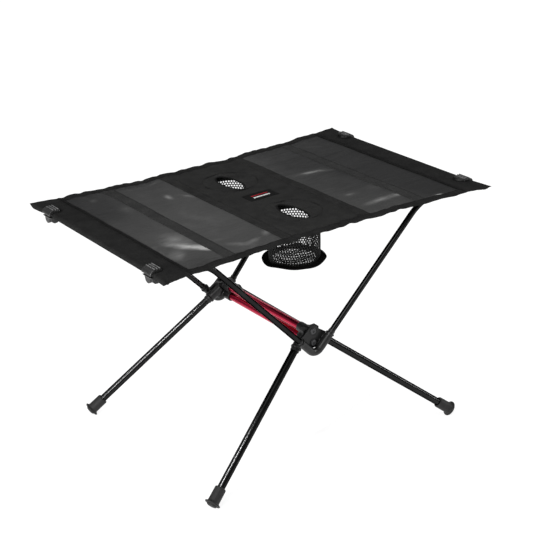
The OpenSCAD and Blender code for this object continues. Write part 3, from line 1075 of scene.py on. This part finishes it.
def area_light(name, where, target, width, height, power):
    data = bpy.data.lights.new(name, "AREA")
    data.shape = "RECTANGLE"
    data.size = width
    data.size_y = height
    data.energy = power
    light = bpy.data.objects.new(name, data)
    light.location = where
    light.rotation_euler = (Vector(target) - Vector(where)).to_track_quat("-Z", "Y").to_euler()
    bpy.context.scene.collection.objects.link(light)
    return light


def tube_light():
    """A strip that draws the bright line along the black tubes, and lights nothing else."""
    tubes = bpy.data.collections.new("black_tubes")
    for name, obj in frame["nodes"].items():
        if name.startswith(("leg_", "arm_")) and "plug" not in name and "cord" not in name:
            tubes.objects.link(obj)
    strip_light = area_light("tube_strip", (-1.5, -0.24, 2.0), LIT_POINT, 0.12, 1.3, 120)
    strip_light.light_linking.receiver_collection = tubes


def pale_floor():
    """A pale floor that glows a little and can't be seen from below."""
    mesh = bpy.data.meshes.new("floor")
    corners = [(x * FLOOR_HALF, y * FLOOR_HALF, 0) for x, y in ((-1, -1), (1, -1), (1, 1), (-1, 1))]
    mesh.from_pydata(corners, [], [(0, 1, 2, 3)])
    floor = bpy.data.objects.new("floor", mesh)
    bpy.context.scene.collection.objects.link(floor)
    paper = Nodes("floor_paper", (0.25, 0.25, 0.25), 0.9)
    paper.set("Specular IOR Level", 0.0)
    paper.set("Emission Color", (1, 1, 1, 1))
    paper.set("Emission Strength", 0.86)
    below = paper.tree.nodes.new("ShaderNodeNewGeometry")
    paper.link(paper.math("SUBTRACT", 1.0, below.outputs["Backfacing"]), "Alpha")
    mesh.materials.append(paper.mat)


def surroundings():
    """White all round to the camera, and a dim fill as light."""
    world = bpy.data.worlds.new("studio")
    bpy.context.scene.world = world
    world.use_nodes = True
    sky = world.node_tree.nodes["Background"]
    sky.inputs["Color"].default_value = (1, 1, 1, 1)
    seen = world.node_tree.nodes.new("ShaderNodeLightPath")
    strength = world.node_tree.nodes.new("ShaderNodeMapRange")
    strength.inputs["To Min"].default_value = 0.25
    strength.inputs["To Max"].default_value = 1.0
    world.node_tree.links.new(seen.outputs["Is Camera Ray"], strength.inputs["Value"])
    world.node_tree.links.new(strength.outputs["Result"], sky.inputs["Strength"])


def lights():
    area_light("back_softbox", (1.3, 2.3, 1.5), LIT_POINT, 0.55, 0.35, 1.5)
    area_light("front_softbox", (-1.3, -1.0, 1.5), LIT_POINT, 1.0, 1.0, 12)
    area_light("left_strip", (-2.4, -0.9, 0.8), LIT_POINT, 0.14, 1.8, 60)
    area_light("right_strip", (2.2, -1.2, 1.2), LIT_POINT, 0.12, 1.6, 26)
    tube_light()
    data = bpy.data.lights.new("overhead", "SUN")
    data.energy = 1.3
    data.angle = math.radians(70)
    light = bpy.data.objects.new("overhead", data)
    light.rotation_euler = (math.radians(-12), math.radians(-14), 0)
    bpy.context.scene.collection.objects.link(light)


def camera():
    yaw, pitch, roll = (math.radians(a) for a in CAMERA_TURN)
    forward = Vector((math.sin(yaw) * math.cos(pitch), math.cos(yaw) * math.cos(pitch), -math.sin(pitch)))
    level = Vector((math.cos(yaw), -math.sin(yaw), 0))
    above = level.cross(forward)
    right = math.cos(roll) * level + math.sin(roll) * above
    up = -math.sin(roll) * level + math.cos(roll) * above
    data = bpy.data.cameras.new("camera")
    data.sensor_width = 36
    data.lens = CAMERA_LENS
    cam = bpy.data.objects.new("camera", data)
    turn = Matrix((right, up, -forward)).transposed().to_4x4()
    cam.matrix_world = Matrix.Translation(CAMERA_AT) @ turn
    bpy.context.scene.collection.objects.link(cam)
    bpy.context.scene.camera = cam


# ---------- build ----------

coated_panels()
centre_cloth()
hole_bindings()
trims()
hems()
end_sleeves()
stitching()
for end, where in ((-1, "front"), (1, "back")):
    net_bag(end, where)
    bag_trim(end, where)
label()
finish_frame()
cords()
mouldings()
clip_ribs()
pale_floor()
surroundings()
lights()
camera()
bpy.context.scene.view_settings.view_transform = "Standard"
bpy.context.scene.view_settings.look = "None"
